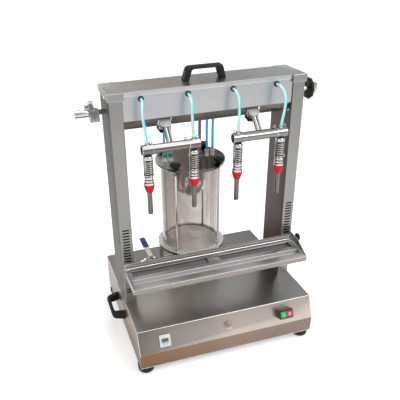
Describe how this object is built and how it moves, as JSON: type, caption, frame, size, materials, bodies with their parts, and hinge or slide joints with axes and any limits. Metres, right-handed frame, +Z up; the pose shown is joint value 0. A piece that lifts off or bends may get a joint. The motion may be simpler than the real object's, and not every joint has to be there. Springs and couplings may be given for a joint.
{
  "type": "vacuum filling machine",
  "caption": "Stainless tabletop vacuum bottle filler with spring-loaded filling nozzles on a bridge frame, a glass overflow vessel and a height-adjustable bottle shelf.",
  "frame": {"origin": "centre of the whole machine seen from above, on the surface its feet stand on", "axes": "+Z up, -Y towards the operator, +X to the right along the beam"},
  "size_m": [0.708, 0.4866, 0.841],
  "materials": {
    "brushed_sheet": "brushed stainless sheet, satin grain",
    "polished_steel": "polished stainless rod and fittings",
    "black_rubber": "matt black rubber",
    "black_plastic": "satin black moulded plastic",
    "red_silicone": "smooth red silicone",
    "air_hose": "translucent pale cyan polyurethane tube",
    "blue_hose": "translucent blue polyurethane tube",
    "grey_hose": "soft grey hose",
    "clear_glass": "clear cylinder wall",
    "navy_grip": "dipped dark blue plastic",
    "white_plastic": "white instrument case",
    "green_key": "glossy green push button",
    "red_key": "glossy red push button",
    "cast_pump": "painted cast pump body"
  },
  "bodies": {
    "frame": {"base_housing": "brushed_sheet", "base_plate": "brushed_sheet", "foot_front_left": "black_rubber", "foot_front_right": "black_rubber", "foot_back_left": "black_rubber", "foot_back_right": "black_rubber", "handle_left": "black_plastic", "handle_right": "black_plastic", "top_handle": "black_plastic", "left_post": "brushed_sheet", "right_post": "brushed_sheet", "beam_cover": "brushed_sheet", "beam_front_panel": "brushed_sheet", "grommet_strip": "black_rubber", "air_tube_1": "air_hose", "air_tube_2": "air_hose", "air_tube_3": "air_hose", "air_tube_4": "air_hose", "vessel_base": "brushed_sheet", "vessel_glass": "clear_glass", "vessel_lid": "brushed_sheet", "left_vessel_tubes": "blue_hose", "right_vessel_tubes": "blue_hose", "vessel_hose": "grey_hose", "drain_valve": "polished_steel", "vacuum_gauge": "white_plastic", "switch_box": "black_plastic", "vacuum_pump": "cast_pump"},
    "nozzle_carrier": {"nozzle_shaft": "polished_steel", "shaft_lever": "polished_steel", "left_arm": "polished_steel", "right_arm": "polished_steel", "left_nozzle_bar": "brushed_sheet", "right_nozzle_bar": "brushed_sheet", "nozzle_spring_1": "polished_steel", "nozzle_spring_2": "polished_steel", "nozzle_spring_3": "polished_steel", "nozzle_spring_4": "polished_steel"},
    "shaft_lock": {"lock_disc": "black_plastic"},
    "left_arm_clamp": {"left_arm_knob": "black_plastic"},
    "right_arm_clamp": {"right_arm_knob": "black_plastic"},
    "cone_1": {"nozzle_seat_1": "polished_steel", "nozzle_cone_1": "red_silicone"},
    "cone_2": {"nozzle_seat_2": "polished_steel", "nozzle_cone_2": "red_silicone"},
    "cone_3": {"nozzle_seat_3": "polished_steel", "nozzle_cone_3": "red_silicone"},
    "cone_4": {"nozzle_seat_4": "polished_steel", "nozzle_cone_4": "red_silicone"},
    "shelf": {"bottle_shelf": "brushed_sheet"},
    "shelf_clamp": {"shelf_knob": "black_plastic"},
    "drain_handle": {"drain_lever": "navy_grip"},
    "start_key": {"start_button": "green_key"},
    "stop_key": {"stop_button": "red_key"},
    "bleed_screw": {"bleed_knob": "polished_steel"},
    "float": {"float_ball": "polished_steel"},
    "lid_nut_1": {"lid_knob_1": "black_plastic"},
    "lid_nut_2": {"lid_knob_2": "black_plastic"},
    "lid_nut_3": {"lid_knob_3": "black_plastic"},
    "lid_nut_4": {"lid_knob_4": "black_plastic"}
  },
  "joints": [
    {"name": "shaft_tilt", "type": "hinge", "parent": "frame", "child": "nozzle_carrier", "pos_m": [0.009, -0.00468, 0.745], "axis": [1, 0, 0], "range_deg": [-4, 20], "deforming": ["air_tube_1", "air_tube_2", "air_tube_3", "air_tube_4"]},
    {"name": "shaft_lock_turn", "type": "hinge", "parent": "nozzle_carrier", "child": "shaft_lock", "pos_m": [0.329, -0.00468, 0.745], "axis": [1, 0, 0], "continuous": true},
    {"name": "left_arm_knob_turn", "type": "hinge", "parent": "nozzle_carrier", "child": "left_arm_clamp", "pos_m": [-0.121, -0.03744, 0.6974], "axis": [0, 0.7193, -0.6947], "continuous": true},
    {"name": "right_arm_knob_turn", "type": "hinge", "parent": "nozzle_carrier", "child": "right_arm_clamp", "pos_m": [0.139, -0.03744, 0.6974], "axis": [0, 0.7193, -0.6947], "continuous": true},
    {"name": "cone_1_slide", "type": "slide", "parent": "nozzle_carrier", "child": "cone_1", "axis": [0, 0, 1], "range_m": [0, 0.018], "stiffness_N_per_m": 300, "springref_m": -0.01, "deforming": ["nozzle_spring_1"]},
    {"name": "cone_2_slide", "type": "slide", "parent": "nozzle_carrier", "child": "cone_2", "axis": [0, 0, 1], "range_m": [0, 0.018], "stiffness_N_per_m": 300, "springref_m": -0.01, "deforming": ["nozzle_spring_2"]},
    {"name": "cone_3_slide", "type": "slide", "parent": "nozzle_carrier", "child": "cone_3", "axis": [0, 0, 1], "range_m": [0, 0.018], "stiffness_N_per_m": 300, "springref_m": -0.01, "deforming": ["nozzle_spring_3"]},
    {"name": "cone_4_slide", "type": "slide", "parent": "nozzle_carrier", "child": "cone_4", "axis": [0, 0, 1], "range_m": [0, 0.018], "stiffness_N_per_m": 300, "springref_m": -0.01, "deforming": ["nozzle_spring_4"]},
    {"name": "shelf_height", "type": "slide", "parent": "frame", "child": "shelf", "axis": [0, 0, 1], "range_m": [0, 0.105]},
    {"name": "shelf_knob_turn", "type": "hinge", "parent": "shelf", "child": "shelf_clamp", "pos_m": [0.289, -0.08568, 0.291], "axis": [1, 0, 0], "continuous": true},
    {"name": "drain_turn", "type": "hinge", "parent": "frame", "child": "drain_handle", "pos_m": [-0.149, 0.08432, 0.217], "axis": [0, 0, 1], "range_deg": [0, 90]},
    {"name": "start_press", "type": "slide", "parent": "frame", "child": "start_key", "axis": [0, 0.9308, -0.3654], "range_m": [0, 0.003], "stiffness_N_per_m": 400, "springref_m": -0.002},
    {"name": "stop_press", "type": "slide", "parent": "frame", "child": "stop_key", "axis": [0, 0.9308, -0.3654], "range_m": [0, 0.003], "stiffness_N_per_m": 400, "springref_m": -0.002},
    {"name": "bleed_turn", "type": "hinge", "parent": "frame", "child": "bleed_screw", "pos_m": [0.009, -0.21656, 0.10963], "axis": [0, 0.9308, -0.3654], "continuous": true},
    {"name": "float_rise", "type": "slide", "parent": "frame", "child": "float", "axis": [0, 0, 1], "range_m": [0, 0.005]},
    {"name": "lid_nut_1_turn", "type": "hinge", "parent": "frame", "child": "lid_nut_1", "pos_m": [-0.06242, 0.05691, 0.526], "axis": [0, 0, 1], "continuous": true},
    {"name": "lid_nut_2_turn", "type": "hinge", "parent": "frame", "child": "lid_nut_2", "pos_m": [0.08042, 0.05691, 0.526], "axis": [0, 0, 1], "continuous": true},
    {"name": "lid_nut_3_turn", "type": "hinge", "parent": "frame", "child": "lid_nut_3", "pos_m": [0.08042, 0.19974, 0.526], "axis": [0, 0, 1], "continuous": true},
    {"name": "lid_nut_4_turn", "type": "hinge", "parent": "frame", "child": "lid_nut_4", "pos_m": [-0.06242, 0.19974, 0.526], "axis": [0, 0, 1], "continuous": true}
  ]
}
